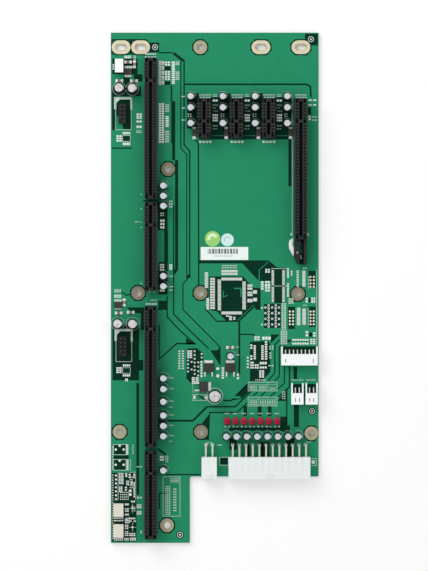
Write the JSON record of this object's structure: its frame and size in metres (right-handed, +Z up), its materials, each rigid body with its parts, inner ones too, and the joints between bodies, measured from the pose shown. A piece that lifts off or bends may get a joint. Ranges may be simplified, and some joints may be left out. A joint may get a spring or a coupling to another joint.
{
  "type": "passive backplane",
  "caption": "Flat green circuit board with a cut-away corner that carries card-edge slots, right-angle power inlets, wafers, headers and capacitors, with a hinged card latch.",
  "frame": {"origin": "under the middle of the board, on the plane that the slots' locating pegs stand on", "axes": "+X across the board towards the latch side, +Y along it towards the slotted holes, +Z up from the component side"},
  "size_m": [0.1316, 0.323, 0.0147],
  "materials": {
    "laminate": "green solder-masked glass-epoxy laminate, satin",
    "slot_plastic": "black moulded glass-filled plastic, satin",
    "power_plastic": "natural white nylon, matt",
    "white_plastic": "natural white nylon, satin",
    "cream_plastic": "cream moulded plastic, satin",
    "tinned_metal": "bright tin plate",
    "can_sleeve": "shrunk black sleeve with a bright aluminium top",
    "red_lens": "clear red moulded lens",
    "chip_epoxy": "moulded black epoxy, matt",
    "tantalum_epoxy": "moulded brown epoxy",
    "ceramic_chip": "fired ceramic with tinned ends",
    "label_paper": "white printed paper",
    "green_paper": "yellow-green paper"
  },
  "bodies": {
    "backplane": {"bulk_capacitor": "can_sleeve", "chip_capacitors": "ceramic_chip", "circuit_board": "laminate", "corner_housing": "white_plastic", "corner_pins": "tinned_metal", "green_sticker": "green_paper", "host_slot_1": "slot_plastic", "host_slot_2": "slot_plastic", "host_slot_3": "slot_plastic", "host_slot_4": "slot_plastic", "indicator_lamps": "red_lens", "large_capacitors": "can_sleeve", "latch_pin": "tinned_metal", "left_wafer_housing": "white_plastic", "left_wafer_pins": "tinned_metal", "long_card_slot": "slot_plastic", "lower_driver_body": "chip_epoxy", "lower_driver_leads": "tinned_metal", "lower_edge_housing": "cream_plastic", "lower_edge_pins": "tinned_metal", "lower_header_base": "slot_plastic", "lower_header_pins": "tinned_metal", "main_power_dividers": "power_plastic", "main_power_housing": "power_plastic", "main_power_pins": "tinned_metal", "paper_label": "label_paper", "regulator_1_body": "chip_epoxy", "regulator_1_frame": "tinned_metal", "regulator_2_body": "chip_epoxy", "regulator_2_frame": "tinned_metal", "regulator_3_body": "chip_epoxy", "regulator_3_frame": "tinned_metal", "right_wafer_housing": "white_plastic", "right_wafer_pins": "tinned_metal", "short_card_slot_1": "slot_plastic", "short_card_slot_2": "slot_plastic", "short_card_slot_3": "slot_plastic", "side_power_dividers": "power_plastic", "side_power_housing": "power_plastic", "side_power_pins": "tinned_metal", "small_capacitors": "can_sleeve", "tantalum_capacitors": "tantalum_epoxy", "tantalum_terminals": "tinned_metal", "upper_driver_body": "chip_epoxy", "upper_driver_leads": "tinned_metal", "upper_edge_housing": "cream_plastic", "upper_edge_pins": "tinned_metal", "upper_header_base": "slot_plastic", "upper_header_pins": "tinned_metal", "white_sticker": "label_paper", "wide_wafer_housing": "white_plastic", "wide_wafer_pins": "tinned_metal"},
    "latch": {"card_latch": "slot_plastic"}
  },
  "joints": [
    {"name": "latch_swing", "type": "hinge", "parent": "backplane", "child": "latch", "pos_m": [0.05206, 0.02215, 0.0082], "axis": [0, 0, 1], "range_deg": [0, 20]}
  ]
}
